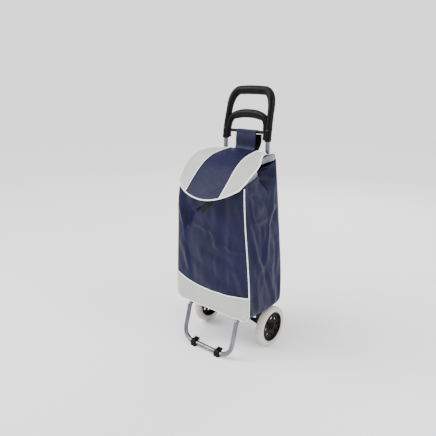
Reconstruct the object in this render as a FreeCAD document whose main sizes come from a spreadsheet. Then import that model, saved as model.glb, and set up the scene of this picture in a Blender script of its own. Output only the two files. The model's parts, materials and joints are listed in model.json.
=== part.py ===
import FreeCAD, Part
import math
import os
import re
import Sketcher

# Two-wheeled shopping trolley: a tube frame with a moulded handle, a folding U-shaped foot,
# two wheels on one axle, and a cloth bag with a hinged flap.
# Millimetres. X to the right, Y to the rear, Z up. The origin is under the middle, on the floor.

Vector = FreeCAD.Vector
Rotation = FreeCAD.Rotation

dimensions = {
    # whole trolley
    "overall_height": 940,
    "overall_width": 340,
    "overall_depth": 276,
    # wheels and axle
    "wheel_radius": 76,
    "tyre_width": 28,
    "tyre_depth": 22,
    "hub_hole_radius": 6.5,
    "hub_hole_circle": 33,
    "hub_hole_count": 8,
    "web_thickness": 5,
    "boss_radius": 13,
    "axle_radius": 5,
    "axle_cap_radius": 9,
    "axle_cap_height": 4,
    "running_gap": 0.06,
    "washer_thickness": 1.2,
    # steel tubes
    "tube_radius": 8,
    "tube_wall": 1.0,
    "foot_wall": 1.5,
    "socket_depth": 40,
    # handle
    "handle_height": 188,
    "handle_lean": 29,
    "post_width": 19,
    "post_depth": 24,
    "grip_height": 31,
    "grip_depth": 26,
    "arch_top": 106,
    "arch_post_width": 16,
    "arch_height": 28,
    "loft_swell": 0.35,
    "bridge_level": 44,
    "bridge_height": 12,
    "bridge_depth": 14,
    # wheel brackets and the foot's pivot
    "leg_to_wheel": 25,
    "leg_to_upright": 18.5,
    "cheek_thickness": 4,
    "bracket_front": 25,
    "socket_wall": 4,
    "pin_radius": 3,
    "pivot_behind_axle": 1.5,
    # foot
    "clip_thickness": 4,
    "clip_length": 20,
    "top_bend": 22,
    "low_bend": 45,
    # bag
    "tube_gap": 47,
    "wheel_clearance": 3,
    "bag_side_margin": 5,
    "bag_taper": 24,
    "bag_front_setback": 43,
    "cloth": 2.5,
    "board_thickness": 5,
    "skirt": 6,
    "trim_height": 84,
    "trim_rise": 28,
    "trim_cloth": 1.5,
    "collar_wall": 2,
    # flap
    "flap_side_overhang": 4,
    "flap_seam": 65,
    "flap_thickness": 3.2,
    "flap_overhang": 107,
    "flap_corner": 80,
    # straps
    "strap_side_gap": 48,
    "strap_thickness": 2,
    "closing_strap_width": 22,
    "closing_strap_length": 142,
    "part_gap": 0.3,
}

doc = FreeCAD.newDocument("shopping_trolley")
sheet = doc.addObject("Spreadsheet::Sheet", "Dims")
for row, (alias, number) in enumerate(dimensions.items(), start=1):
    sheet.set(f"A{row}", alias)
    sheet.set(f"B{row}", str(number))
    sheet.setAlias(f"B{row}", alias)
doc.recompute()

# Places that follow from the driving dimensions, each a formula on the sheet's cells.
places = {
    "axle_y": "overall_depth / 2 - wheel_radius",
    "wheel_inner": "overall_width / 2 - axle_cap_height - tyre_width",
    "wheel_x": "overall_width / 2 - axle_cap_height - tyre_width / 2",
    "leg_x": "(wheel_inner - leg_to_wheel)",
    "upright_x": "(leg_x - leg_to_upright)",
    "upright_y": "(overall_depth / 2 - handle_lean - grip_depth / 2 - loft_swell)",
    "handle_foot": "(overall_height - handle_height)",
    "bag_top": "(handle_foot - tube_gap)",
    "bag_floor": "(2 * wheel_radius + wheel_clearance)",
    "arm_z": "(bag_floor - tube_radius - 1)",
    "pivot_y": "(axle_y + pivot_behind_axle)",
    "bar_y": "(tube_radius + clip_thickness - overall_depth / 2)",
    "bar_z": "(tube_radius + clip_thickness + 1)",
    "bag_front": "(bag_front_setback - overall_depth / 2)",
    "bag_back": "(upright_y - tube_radius - socket_wall)",
    "bag_half": "(overall_width / 2 - bag_side_margin)",
    "bag_height": "(bag_top - bag_floor)",
    "block_inner": "(leg_x - tube_radius - part_gap - cheek_thickness)",
    "block_outer": "(leg_x + tube_radius + part_gap + cheek_thickness)",
    "socket_floor": "(bag_floor - 51)",
    "clip_x": "(leg_x - low_bend - clip_length / 2 - 1)",
    "flap_half_width": "(bag_half - bag_taper + flap_side_overhang)",
    "strap_half_width": "(upright_x - strap_side_gap)",
    "flap_y": "(bag_back - 4)",
    "flap_z": "(bag_top + 18)",
}


def on_sheet(formula):
    """The formula with each place written out, down to the sheet's own cells."""
    def swap(match):
        word = match.group()
        if word in places:
            return "(" + on_sheet(places[word]) + ")"
        return "Dims." + word if word in dimensions else word
    return re.sub(r"(?<![\w.])[A-Za-z_]\w*", swap, str(formula))


def size(formula):
    """The number that a formula has now, worked out by the sheet."""
    value = sheet.evalExpression(on_sheet(formula))
    return float(getattr(value, "Value", value))


def bind(obj, formulas):
    """Bind each property to its formula."""
    for prop, formula in formulas.items():
        obj.setExpression(prop, on_sheet(formula))


turns = {
    "+x": Rotation(Vector(0, 1, 0), 90),
    "-x": Rotation(Vector(0, 1, 0), -90),
    "+y": Rotation(Vector(1, 0, 0), -90),
    "-y": Rotation(Vector(1, 0, 0), 90),
    "+z": Rotation(),
}
outward = {-1: "-x", 1: "+x"}
inward = {-1: "+x", 1: "-x"}
sides = {"left": -1, "right": 1}


def place(obj, at, turn=None):
    """Turn an object, and bind its base point."""
    obj.Placement = FreeCAD.Placement(Vector(), turn or Rotation())
    bind(obj, {"Placement.Base." + axis: formula for axis, formula in zip("xyz", at)})


def mirrored(side, formula):
    return formula if side > 0 else f"-({formula})"


def side_range(side, low, high):
    """An X range on the right, or its mirror image on the left."""
    return (low, high) if side > 0 else (f"-({high})", f"-({low})")


def cylinder(name, radius, length, at, direction):
    obj = doc.addObject("Part::Cylinder", name)
    bind(obj, {"Radius": radius, "Height": length})
    place(obj, at, turns[direction])
    return obj


def cone(name, start_radius, end_radius, length, at, direction):
    obj = doc.addObject("Part::Cone", name)
    bind(obj, {"Radius1": start_radius, "Radius2": end_radius, "Height": length})
    place(obj, at, turns[direction])
    return obj


def box(name, x_range, y_range, z_range):
    obj = doc.addObject("Part::Box", name)
    spans = dict(zip(("Length", "Width", "Height"), (x_range, y_range, z_range)))
    bind(obj, {prop: f"({high}) - ({low})" for prop, (low, high) in spans.items()})
    place(obj, (x_range[0], y_range[0], z_range[0]))
    return obj


def fuse(name, parts):
    obj = doc.addObject("Part::MultiFuse", name)
    obj.Shapes = parts
    obj.Refine = False
    return obj


def cut(name, base, tools):
    """The base with every tool taken away."""
    obj = doc.addObject("Part::Cut", name)
    obj.Base = base
    obj.Tool = tools[0] if len(tools) == 1 else fuse(name + "_tools", tools)
    return obj


def common(name, first, second):
    obj = doc.addObject("Part::Common", name)
    obj.Base = first
    obj.Tool = second
    return obj


def outline_sketch(body, name, role, points):
    """A closed outline of straight edges on an origin plane, each corner bound to its formulas."""
    sketch = body.newObject("Sketcher::SketchObject", name)
    plane = [f for f in body.Origin.OriginFeatures if f.Role == role][0]
    sketch.AttachmentSupport = (plane, "")
    sketch.MapMode = "FlatFace"
    corners = [Vector(size(a), size(b), 0) for a, b in points]
    count = len(corners)
    for i in range(count):
        sketch.addGeometry(Part.LineSegment(corners[i], corners[(i + 1) % count]), False)
    for i in range(count):
        sketch.addConstraint(Sketcher.Constraint("Coincident", i, 2, (i + 1) % count, 1))
    for i, (a, b) in enumerate(points):
        for kind, formula, value in (("DistanceX", a, corners[i].x), ("DistanceY", b, corners[i].y)):
            number = sketch.addConstraint(Sketcher.Constraint(kind, -1, 1, i, 1, value))
            sketch.setExpression(f"Constraints[{number}]", on_sheet(formula))
    return sketch


def padded(body, name, role, points, length, reverse=False):
    pad = body.newObject("PartDesign::Pad", name)
    pad.Profile = outline_sketch(body, name + "_outline", role, points)
    pad.Reversed = reverse
    bind(pad, {"Length": length})
    return pad


def plate(name, role, points, thickness, at, turn=None, reverse=False):
    """A flat piece: an outline on an origin plane, padded to its thickness."""
    body = doc.addObject("PartDesign::Body", name)
    padded(body, name + "_pad", role, points, thickness, reverse)
    place(body, at, turn)
    return body


nodes = []


def node(obj, label):
    """Keep this object as a sub-part of that name."""
    obj.Label = label
    nodes.append(obj)


def solid_node(label, shape):
    """Keep a shape made with Part's own functions."""
    obj = doc.addObject("Part::Feature", label + "_solid")
    obj.Shape = shape
    obj.Placement = FreeCAD.Placement()
    node(obj, label)


# Frame tubes

def upright_tube(word, side):
    at = (mirrored(side, "upright_x"), "upright_y", "socket_floor")
    length = "handle_foot + socket_depth - socket_floor"
    outer = cylinder(word + "_upright_outer", "tube_radius", length, at, "+z")
    bore = cylinder(word + "_upright_bore", "tube_radius - tube_wall", length, at, "+z")
    node(cut(word + "_upright", outer, [bore]), word + "_upright_tube")


# Handle: an outer loop and an inner arch side by side, with a bridge bar for the strap

def handle_y(level):
    """Where the handle's middle is, front to back, at a level."""
    rise = (level - size("handle_foot")) / size("handle_height - grip_height / 2")
    return size("upright_y") + size("handle_lean") * max(rise, 0) ** 1.4


def arch_points(half_width, foot, shoulder, top, power):
    """Evenly spaced points along an arch: two straight legs and a superellipse over them."""
    fine = [(-half_width, foot)]
    for i in range(241):
        angle = math.pi * i / 240
        reach = -math.copysign(abs(math.cos(angle)) ** (2 / power), math.cos(angle))
        fine.append((half_width * reach, shoulder + (top - shoulder) * abs(math.sin(angle)) ** (2 / power)))
    fine.append((half_width, foot))
    runs = [0]
    for (x0, z0), (x1, z1) in zip(fine, fine[1:]):
        runs.append(runs[-1] + math.hypot(x1 - x0, z1 - z0))
    count = 26
    points, at = [], 0
    for i in range(count + 1):
        along = runs[-1] * i / count
        while at < len(fine) - 2 and runs[at + 1] < along:
            at += 1
        part = (along - runs[at]) / (runs[at + 1] - runs[at])
        points.append(tuple(p + (q - p) * part for p, q in zip(fine[at], fine[at + 1])))
    return points


def oval(centre, across, back):
    """A closed oval wire with the given half axes."""
    steps = 16
    turn = [2 * math.pi * i / steps for i in range(steps)]
    curve = Part.BSplineCurve()
    curve.interpolate([centre + across * math.cos(a) + back * math.sin(a) for a in turn], PeriodicFlag=True)
    return Part.Wire([curve.toShape()])


def rounded_arch(points, post_section, crown_section, crown):
    """A smooth bar along the points. Its oval section grows from the posts to the crown."""
    line = [Vector(x, handle_y(z), z) for x, z in points]
    foot = line[0].z
    last = len(line) - 1
    sections = []
    for i, centre in enumerate(line):
        ahead = line[min(i + 1, last)] - line[max(i - 1, 0)]
        if i in (0, last):
            ahead = Vector(0, 0, 1 if i == 0 else -1)
        ahead.normalize()
        outside = Vector(0, -1, 0).cross(ahead).normalize()
        back = ahead.cross(outside)
        rise = min((centre.z - foot) / (crown - foot), 1)
        growth = rise ** 2.5
        width, depth = [a + (b - a) * growth for a, b in zip(post_section, crown_section)]
        sections.append(oval(centre, outside * (width / 2), back * (depth / 2)))
    return Part.makeLoft(sections, True, False)


def handle_moulding():
    foot = size("handle_foot")
    top = size("overall_height - grip_height / 2 - loft_swell")
    loop_half = size("upright_x + 10.5 - post_width / 2")
    loop = rounded_arch(arch_points(loop_half, foot, foot + size("handle_height") * 0.3, top, 2.8),
                        (size("post_width"), size("post_depth")),
                        (size("grip_height"), size("grip_depth")), top)
    arch_top = foot + size("arch_top - arch_height / 2")
    arch = rounded_arch(arch_points(size("upright_x - 10"), foot, foot + size("arch_top") * 0.25, arch_top, 2.7),
                        (size("arch_post_width"), size("post_depth - 4")),
                        (size("arch_height"), size("grip_depth")), arch_top)
    level = foot + size("bridge_level")
    length = size("2 * upright_x - 20")
    depth, height = size("bridge_depth"), size("bridge_height")
    bridge = Part.makeBox(length, depth, height,
                          Vector(-length / 2, handle_y(level) - depth / 2, level - height / 2))
    long_edges = [e for e in bridge.Edges if abs(e.tangentAt(e.FirstParameter).x) > 0.9]
    bridge = bridge.makeFillet(height / 3, long_edges)
    solid = loop.fuse([arch, bridge])
    for side in sides.values():
        solid = solid.cut(Part.makeCylinder(size("tube_radius"), size("socket_depth + 1"),
                                            Vector(side * size("upright_x"), size("upright_y"), foot - 1)))
    solid_node("handle_moulding", solid.removeSplitter())


def cross_screws(label, level, head_y):
    """One screw from the rear into each upright tube."""
    parts = []
    for word, side in sides.items():
        at_x = mirrored(side, "upright_x")
        parts.append(cylinder(f"{label}_{word}_shank", "2", f"{head_y} - upright_y - 4",
                              (at_x, "upright_y + 4", level), "+y"))
        parts.append(cylinder(f"{label}_{word}_head", "3.5", "2.2", (at_x, head_y, level), "+y"))
    node(fuse(label + "_pair", parts), label)


# Wheel brackets, with the uprights' sockets, the axle's boss and the fork for the foot's pivot

def wheel_bracket(word, side):
    name = word + "_bracket"
    low_x = mirrored(side, "block_inner" if side > 0 else "block_outer")
    block = plate(name + "_block", "YZ_Plane", [
        ("axle_y - bracket_front", "arm_z + tube_radius"),
        ("axle_y - bracket_front", "arm_z - 20"),
        ("axle_y - boss_radius", "wheel_radius"),
        ("axle_y - 5", "wheel_radius - boss_radius + 4"),
        ("axle_y + boss_radius", "wheel_radius - 4"),
        ("upright_y + 10", "arm_z - 34"),
        ("upright_y + 10", "arm_z + tube_radius"),
    ], "block_outer - block_inner", (low_x, "0", "0"))
    hollow_x = mirrored(side, "block_inner - 1" if side > 0 else "block_inner + 15")
    hollow = plate(name + "_hollow", "YZ_Plane", [
        ("axle_y - bracket_front + 6", "arm_z - 16"),
        ("axle_y - 8", "wheel_radius + 17"),
        ("axle_y + 10", "wheel_radius + 15"),
        ("upright_y - 2", "arm_z - 34"),
        ("upright_y - 14", "arm_z - 16"),
    ], "16", (hollow_x, "0", "0"))
    boss_at = (mirrored(side, "block_inner - 2"), "axle_y", "wheel_radius")
    boss = cylinder(name + "_boss", "boss_radius", "wheel_inner - block_inner + 0.6", boss_at, outward[side])
    nose_at = (mirrored(side, "block_inner + 3"), "axle_y", "wheel_radius")
    nose = cone(name + "_nose", "boss_radius - 1", "axle_radius + 1.5", "38", nose_at, inward[side])
    socket_at = (mirrored(side, "upright_x"), "upright_y", "socket_floor - 4")
    socket = cylinder(name + "_socket", "tube_radius + socket_wall", "bag_floor + 21 - socket_floor",
                      socket_at, "+z")
    slot_x = side_range(side, "leg_x - tube_radius - part_gap", "leg_x + tube_radius + part_gap")
    slot = box(name + "_slot", slot_x, ("axle_y - bracket_front - 1", "pivot_y"),
               ("arm_z - tube_radius - part_gap", "arm_z + 20"))
    swing = cylinder(name + "_swing", "tube_radius * 1.5", "2 * (tube_radius + part_gap)",
                     (slot_x[0], "pivot_y", "arm_z"), "+x")
    slot_top = box(name + "_slot_top", slot_x, ("pivot_y - 1", "pivot_y + tube_radius * 1.5"),
                   ("arm_z", "arm_z + 20"))
    axle_hole = cylinder(name + "_axle_hole", "axle_radius", "120",
                         (mirrored(side, "block_inner - 50"), "axle_y", "wheel_radius"), outward[side])
    pin_hole = cylinder(name + "_pin_hole", "pin_radius", "60",
                        (mirrored(side, "block_inner - 10"), "pivot_y", "arm_z"), outward[side])
    tube_hole = cylinder(name + "_tube_hole", "tube_radius", "120",
                         (mirrored(side, "upright_x"), "upright_y", "socket_floor"), "+z")
    base = fuse(name + "_base", [cut(name + "_ribbed", block, [hollow]), boss, nose, socket])
    node(cut(name + "_moulding", base, [slot, swing, slot_top, axle_hole, pin_hole, tube_hole]),
         word + "_wheel_bracket")


def axle_parts():
    reach = "overall_width / 2 - 1.5"
    node(cylinder("axle", "axle_radius", f"2 * ({reach})", (f"-({reach})", "axle_y", "wheel_radius"), "+x"),
         "axle_rod")
    washers = []
    for word, side in sides.items():
        start = "wheel_inner - washer_thickness - 0.1"
        at = (mirrored(side, start), "axle_y", "wheel_radius")
        disc = cylinder(word + "_washer_disc", "axle_cap_radius", "washer_thickness", at, outward[side])
        hole = cylinder(word + "_washer_hole", "axle_radius", "washer_thickness", at, outward[side])
        washers.append(cut(word + "_washer", disc, [hole]))
        cap_at = (mirrored(side, "overall_width / 2 - axle_cap_height + 0.2"), "axle_y", "wheel_radius")
        skirt = cylinder(word + "_cap_skirt", "axle_cap_radius", "axle_cap_height / 2", cap_at, outward[side])
        dome_at = (mirrored(side, "overall_width / 2 - axle_cap_height / 2 + 0.2"), "axle_y", "wheel_radius")
        dome = cone(word + "_cap_dome", "axle_cap_radius", "axle_cap_radius - 3",
                    "axle_cap_height / 2 - 0.2", dome_at, outward[side])
        bore = cylinder(word + "_cap_bore", "axle_radius", "axle_cap_height - 1.7", cap_at, outward[side])
        node(cut(word + "_cap", fuse(word + "_cap_blank", [skirt, dome]), [bore]), word + "_axle_cap")
    node(fuse("washer_pair", washers), "axle_washers")


# Wheels, each drawn about its own middle with the outer face towards +X, then turned into place

def revolved(body, name, points):
    """A ring: the outline of (along the axle, radius) turned about the X axis."""
    turned = body.newObject("PartDesign::Revolution", name)
    turned.Profile = outline_sketch(body, name + "_outline", "XY_Plane", points)
    axis = [f for f in body.Origin.OriginFeatures if f.Role == "X_Axis"][0]
    turned.ReferenceAxis = (axis, [""])
    turned.Angle = 360
    return turned


def wheel_place(body, side):
    place(body, (mirrored(side, "wheel_x"), "axle_y", "wheel_radius"),
          Rotation(Vector(0, 0, 1), 0 if side > 0 else 180))


def tyre(word, side):
    body = doc.addObject("PartDesign::Body", word + "_tyre_body")
    half, seat = "tyre_width / 2", "wheel_radius - tyre_depth"
    revolved(body, word + "_tyre_ring", [
        (f"-{half}", seat), (f"-{half}", "wheel_radius - 8"), (f"-{half} + 3", "wheel_radius - 2.5"),
        (f"-{half} + 9", "wheel_radius"), (f"{half} - 9", "wheel_radius"),
        (f"{half} - 3", "wheel_radius - 2.5"), (half, "wheel_radius - 8"), (half, seat)])
    wheel_place(body, side)
    node(body, word + "_tyre")


def hub(word, side):
    body = doc.addObject("PartDesign::Body", word + "_hub_body")
    half, seat = "tyre_width / 2", "wheel_radius - tyre_depth"
    bore = "axle_radius + running_gap"
    web = f"{half} - 7"
    ring = revolved(body, word + "_hub_ring", [
        (f"-{half}", bore), (f"-{half}", "boss_radius"), (f"{web} - web_thickness", "boss_radius + 1"),
        (f"{web} - web_thickness", f"{seat} - 5"), (f"-{half} + 2", f"{seat} - 4"),
        (f"-{half} + 2", seat), (f"{half} - 1", seat), (f"{half} - 1", f"{seat} - 3.5"),
        (web, f"{seat} - 6"), (web, "boss_radius + 2"), (f"{half} - 2", "boss_radius - 1"),
        (f"{half}", "boss_radius - 4"), (f"{half}", bore)])
    doc.recompute()
    hole_sketch = body.newObject("Sketcher::SketchObject", word + "_hub_hole_outline")
    hole_sketch.AttachmentSupport = ([f for f in body.Origin.OriginFeatures if f.Role == "YZ_Plane"][0], "")
    hole_sketch.MapMode = "FlatFace"
    hole_sketch.addGeometry(Part.Circle(Vector(0, size("hub_hole_circle"), 0), Vector(0, 0, 1),
                                        size("hub_hole_radius")), False)
    hole_sketch.addConstraint(Sketcher.Constraint("DistanceX", -1, 1, 0, 3, 0))
    for kind, formula in (("DistanceY", "hub_hole_circle"), ("Radius", "hub_hole_radius")):
        pinned = (-1, 1, 0, 3) if kind == "DistanceY" else (0,)
        number = hole_sketch.addConstraint(Sketcher.Constraint(kind, *pinned, size(formula)))
        hole_sketch.setExpression(f"Constraints[{number}]", on_sheet(formula))
    hole = body.newObject("PartDesign::Pocket", word + "_hub_hole")
    hole.Profile = hole_sketch
    hole.Midplane = True
    bind(hole, {"Length": "2 * tyre_width"})
    pattern = body.newObject("PartDesign::PolarPattern", word + "_hub_holes")
    pattern.Originals = [hole]
    pattern.Axis = ([f for f in body.Origin.OriginFeatures if f.Role == "X_Axis"][0], [""])
    pattern.Angle = 360
    bind(pattern, {"Occurrences": "hub_hole_count"})
    body.Tip = pattern
    wheel_place(body, side)
    doc.recompute()
    if not body.Shape.Volume < ring.Shape.Volume - size("hub_hole_count") * 100:
        raise RuntimeError(word + " hub: the holes cut too little")
    node(body, word + "_hub")


# Foot: one bent tube that folds up about a pin in each bracket, with a clip at each side

def rounded_path(points, radii):
    """Straight runs joined by tangent arcs, one radius for each inner point."""
    edges, start = [], points[0]
    for i, radius in enumerate(radii, start=1):
        corner = points[i]
        back = (points[i - 1] - corner).normalize()
        ahead = (points[i + 1] - corner).normalize()
        half = math.acos(max(-1.0, min(1.0, back.dot(ahead)))) / 2
        reach = radius / math.tan(half)
        middle = (back + ahead).normalize() * (radius / math.sin(half) - radius)
        first, last = corner + back * reach, corner + ahead * reach
        edges += [Part.LineSegment(start, first).toShape(), Part.Arc(first, corner + middle, last).toShape()]
        start = last
    edges.append(Part.LineSegment(start, points[-1]).toShape())
    return Part.Wire(edges)


def bent_rod(path, radius):
    """A round rod along a path."""
    first = path.Edges[0]
    ring = Part.Wire([Part.makeCircle(radius, path.Vertexes[0].Point, first.tangentAt(first.FirstParameter))])
    return path.makePipeShell([ring], True, True)


def foot_frame():
    leg, arm, pivot = size("leg_x"), size("arm_z"), size("pivot_y")
    end = pivot + size("tube_radius")
    knee = size("bag_front + cloth + tube_radius - 3")
    bar_y, bar_z = size("bar_y"), size("bar_z")
    right = [Vector(leg, end, arm), Vector(leg, knee, arm), Vector(leg, bar_y, bar_z)]
    left = [Vector(-p.x, p.y, p.z) for p in reversed(right)]
    bends = [size("top_bend"), size("low_bend"), size("low_bend"), size("top_bend")]
    path = rounded_path(right + left, bends)
    tube = bent_rod(path, size("tube_radius")).cut(bent_rod(path, size("tube_radius - foot_wall")))
    hole = Part.makeCylinder(size("pin_radius + running_gap"), size("overall_width"),
                             Vector(-size("overall_width / 2"), pivot, arm), Vector(1, 0, 0))
    solid_node("foot_frame", tube.cut(hole))


def foot_clip(word, side):
    name = word + "_clip"
    spans = side_range(side, "clip_x - clip_length / 2", "clip_x + clip_length / 2")
    outer = "tube_radius + clip_thickness"
    ring = cylinder(name + "_ring", outer, "clip_length", (spans[0], "bar_y", "bar_z"), "+x")
    pad = box(name + "_pad", spans, (f"bar_y - ({outer})", f"bar_y + {outer} - 2"), ("0", "bar_z"))
    tab = box(name + "_tab", spans, ("bar_y + tube_radius", "bar_y + tube_radius + 9"),
              ("bar_z + tube_radius - 1", "bar_z + tube_radius + 5"))
    seat = cylinder(name + "_seat", "tube_radius", "clip_length", (spans[0], "bar_y", "bar_z"), "+x")
    node(cut(name + "_moulding", fuse(name + "_blank", [ring, pad, tab]), [seat]), word + "_foot_clip")


def pivot_pins():
    pins = []
    for word, side in sides.items():
        at = (mirrored(side, "block_inner - 1"), "pivot_y", "arm_z")
        pins.append(cylinder(word + "_pin", "pin_radius", "block_outer - block_inner + 1.8", at, outward[side]))
        head_at = (mirrored(side, "block_outer + 0.05"), "pivot_y", "arm_z")
        pins.append(cylinder(word + "_pin_head", "pin_radius + 2", "1.6", head_at, outward[side]))
    node(fuse("pin_pair", pins), "foot_pivot_pins")


# Bag: flat cloth pieces that meet edge to edge, in a taper from a wide floor to a narrower mouth

def bag_half_at(level):
    """Half the bag's width at a level."""
    return f"(bag_half - bag_taper * ({level} - bag_floor) / bag_height)"


flap_profile = [
    ("flap_y", "flap_z"),
    ("bag_back - 71", "bag_top + 2"),
    ("bag_back - 120", "bag_top - 16"),
    ("bag_back - 161", "bag_top - 51"),
    ("0.5 - overall_depth / 2", "bag_top - flap_overhang"),
]


def under_flap(gap):
    """The flap's underside, lowered by a gap, from the rear to the front."""
    return [(y, f"{z} - flap_thickness - {gap}") for y, z in flap_profile]


def cross_panel(label, front, thickness, bottom, top, inset="0"):
    """An upright panel across the bag, cut to its taper."""
    corners = [(bottom, -1), (bottom, 1), (top, 1), (top, -1)]
    points = [(mirrored(side, f"({bag_half_at(level)} - {inset})"), level) for level, side in corners]
    node(plate(label + "_panel", "XZ_Plane", points, thickness, ("0", front, "0"), reverse=True), label)


def gusset(word, side):
    """A side panel. It leans with the taper, and its top edge follows the flap."""
    front, back = "bag_front + cloth", "bag_back - cloth"
    corners = [(back, "bag_floor"), (back, "bag_top"), ("bag_back - 71", "bag_top - 8"),
               ("bag_back - 120", "bag_top - 25"), ("bag_back - 161", "bag_top - 60"),
               (front, "bag_top - 73"), (front, "bag_floor")]
    points = [(y, f"{z} - bag_floor") for y, z in corners]
    foot_x = "bag_half - cloth" if side > 0 else "-bag_half"
    lean = math.atan2(size("bag_taper"), size("bag_height"))
    body = plate(word + "_gusset", "YZ_Plane", points, "cloth", (foot_x, "0", "bag_floor"),
                 Rotation(Vector(0, 1, 0), -side * math.degrees(lean)))
    node(body, f"bag_{word}_gusset")


def bag_floor_pieces():
    inner = ("bag_front + cloth", "bag_back - cloth")
    width = ("cloth + 0.5 - bag_half", "bag_half - cloth - 0.5")
    node(box("floor_cloth", width, inner, ("bag_floor", "bag_floor + cloth")), "bag_floor_panel")
    rise = "bag_floor + cloth + part_gap"
    node(box("floor_board", ("12 - bag_half", "bag_half - 12"), ("bag_front + 6", "pivot_y - 10"),
             (rise, f"{rise} + board_thickness")), "base_board")


def trim_panel():
    """The pale panel across the foot of the front, its top edge dipping in the middle."""
    low, high, middle = "bag_floor - skirt", "bag_floor + trim_height + trim_rise", "bag_floor + trim_height"
    points = [(mirrored(side, bag_half_at(low)), low) for side in (-1, 1)]
    points += [(bag_half_at(high), high), ("bag_half / 2", f"{middle} + 3"), ("0", middle),
               ("-bag_half / 2", f"{middle} + 3"), (f"-{bag_half_at(high)}", high)]
    node(plate("trim", "XZ_Plane", points, "trim_cloth", ("0", "bag_front - trim_cloth", "0"), reverse=True),
         "bag_trim_panel")


def mouth_collar():
    """The drawn-in inner collar that stands in the mouth, cut off just under the flap."""
    outer_x, outer_y = "bag_half - bag_taper - 8", ("bag_front + cloth + 4", "bag_back - cloth - 3")
    level = ("bag_top - 100", "bag_top + 8")
    outer = box("collar_outer", (f"-({outer_x})", outer_x), outer_y, level)
    inner = box("collar_inner", (f"collar_wall - ({outer_x})", f"{outer_x} - collar_wall"),
                (f"{outer_y[0]} + collar_wall", f"{outer_y[1]} - collar_wall"), level)
    above = under_flap("4") + [("-overall_depth", "bag_top + 100"), ("bag_back", "bag_top + 100")]
    cover = plate("collar_cut", "YZ_Plane", above, "overall_width", ("-overall_width / 2", "0", "0"))
    node(cut("collar", outer, [inner, cover]), "mouth_collar")


def tube_sleeve(word, side):
    """The cloth sleeve on the bag's back that an upright runs through."""
    name = word + "_sleeve"
    at = (mirrored(side, "upright_x"), "upright_y", "bag_floor + 35")
    length = "bag_height - 60"
    outer = cylinder(name + "_outer", "tube_radius + 2.4", length, at, "+z")
    web = box(name + "_web", side_range(side, "upright_x - tube_radius - 2.4", "upright_x + tube_radius + 2.4"),
              ("bag_back", "upright_y - 4"), ("bag_floor + 35", "bag_floor + 35 + " + length))
    bore = cylinder(name + "_bore", "tube_radius + 0.4", length, at, "+z")
    node(cut(name + "_cloth", fuse(name + "_blank", [outer, web]), [bore]), word + "_tube_sleeve")


# Flap: three panels that share one profile, cut to a rounded plan

def flap():
    rise = size("flap_half_width")
    middle_y = size("flap_corner - overall_depth / 2")
    back = size("bag_back")
    tall = size("overall_height")
    nose = Part.Face(Part.Wire([Part.Ellipse(Vector(0, 0, 0), rise, size("flap_corner")).toShape()]))
    plan_solid = nose.extrude(Vector(0, 0, tall))
    plan_solid.translate(Vector(0, middle_y, 0))
    plan_solid = plan_solid.fuse(Part.makeBox(2 * rise, back - middle_y, tall, Vector(-rise, middle_y, 0)))
    plan = doc.addObject("Part::Feature", "flap_plan")
    plan.Shape = plan_solid
    ring = flap_profile + list(reversed(under_flap("0")))
    spans = {
        "flap_left_panel": ("-flap_half_width", "-flap_seam"),
        "flap_centre_panel": ("-flap_seam", "flap_seam"),
        "flap_right_panel": ("flap_seam", "flap_half_width"),
    }
    for label, (low, high) in spans.items():
        strip = plate(label + "_strip", "YZ_Plane", ring, f"{high} - ({low})", (low, "0", "0"))
        node(common(label + "_cut", strip, plan), label)


# Straps

def hanging_strap():
    """The wide strap that goes up over the handle's bridge bar and down behind it."""
    level = size("handle_foot + bridge_level")
    bar_y = f"{handle_y(level):.3f}"
    near = f"{bar_y} - bridge_depth / 2 - 0.8"
    far = f"{bar_y} + bridge_depth / 2 + 0.8"
    top = "handle_foot + bridge_level + bridge_height / 2 + 0.8"
    wide = ("-strap_half_width", "0", "0")
    front = [("bag_back + 0.5", "bag_top + 3"), (f"{near} - strap_thickness", f"{top} + strap_thickness"),
             (f"{far} + strap_thickness", f"{top} + strap_thickness"), (f"{far} + strap_thickness", f"{top} - 14"),
             (far, f"{top} - 14"), (far, top), (near, top), ("bag_back + 0.5 + strap_thickness", "bag_top + 3")]
    node(plate("strap_front", "YZ_Plane", front, "2 * strap_half_width", wide), "hanging_strap")
    rear = [(far, f"{top} - 14.2"), (f"{far} + strap_thickness", f"{top} - 14.2"),
            ("bag_back + 1 + strap_thickness", "bag_top - 15"), ("bag_back + 1", "bag_top - 15")]
    node(plate("strap_rear", "YZ_Plane", rear, "2 * strap_half_width", wide), "strap_lining")


def closing_strap():
    """The flap's narrow closing strap, hanging askew in front of the bag, with its moulded hook."""
    slant = math.radians(45)
    run, drop = f"{math.sin(slant):.4f}", f"{math.cos(slant):.4f}"
    top_x, top_z = "56", "bag_top - flap_overhang + 17"
    half = "closing_strap_width / 2"
    corners = []
    for along, across in (("0", -1), ("closing_strap_length", -1), ("closing_strap_length", 1), ("0", 1)):
        sign = "+" if across > 0 else "-"
        corners.append((f"{top_x} - {along} * {run} {sign} {half} * {drop}",
                        f"{top_z} - {along} * {drop} {'-' if across > 0 else '+'} {half} * {run}"))
    front = "bag_front - 6"
    node(plate("strap_tail", "XZ_Plane", corners, "strap_thickness", ("0", front, "0"), reverse=True),
         "closing_strap")
    end_x = f"({top_x} - closing_strap_length * {run})"
    end_z = f"({top_z} - closing_strap_length * {drop})"
    slab = box("hook_slab", (f"{end_x} - 16", f"{end_x} - 7.5"), (front, f"{front} + 4"),
               (f"{end_z} - 1", f"{end_z} + 14"))
    tip = cylinder("hook_tip", "3.5", "4", (f"{end_x} - 16", front, f"{end_z} + 12"), "+y")
    node(fuse("hook_blank", [slab, tip]), "strap_hook")


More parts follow.
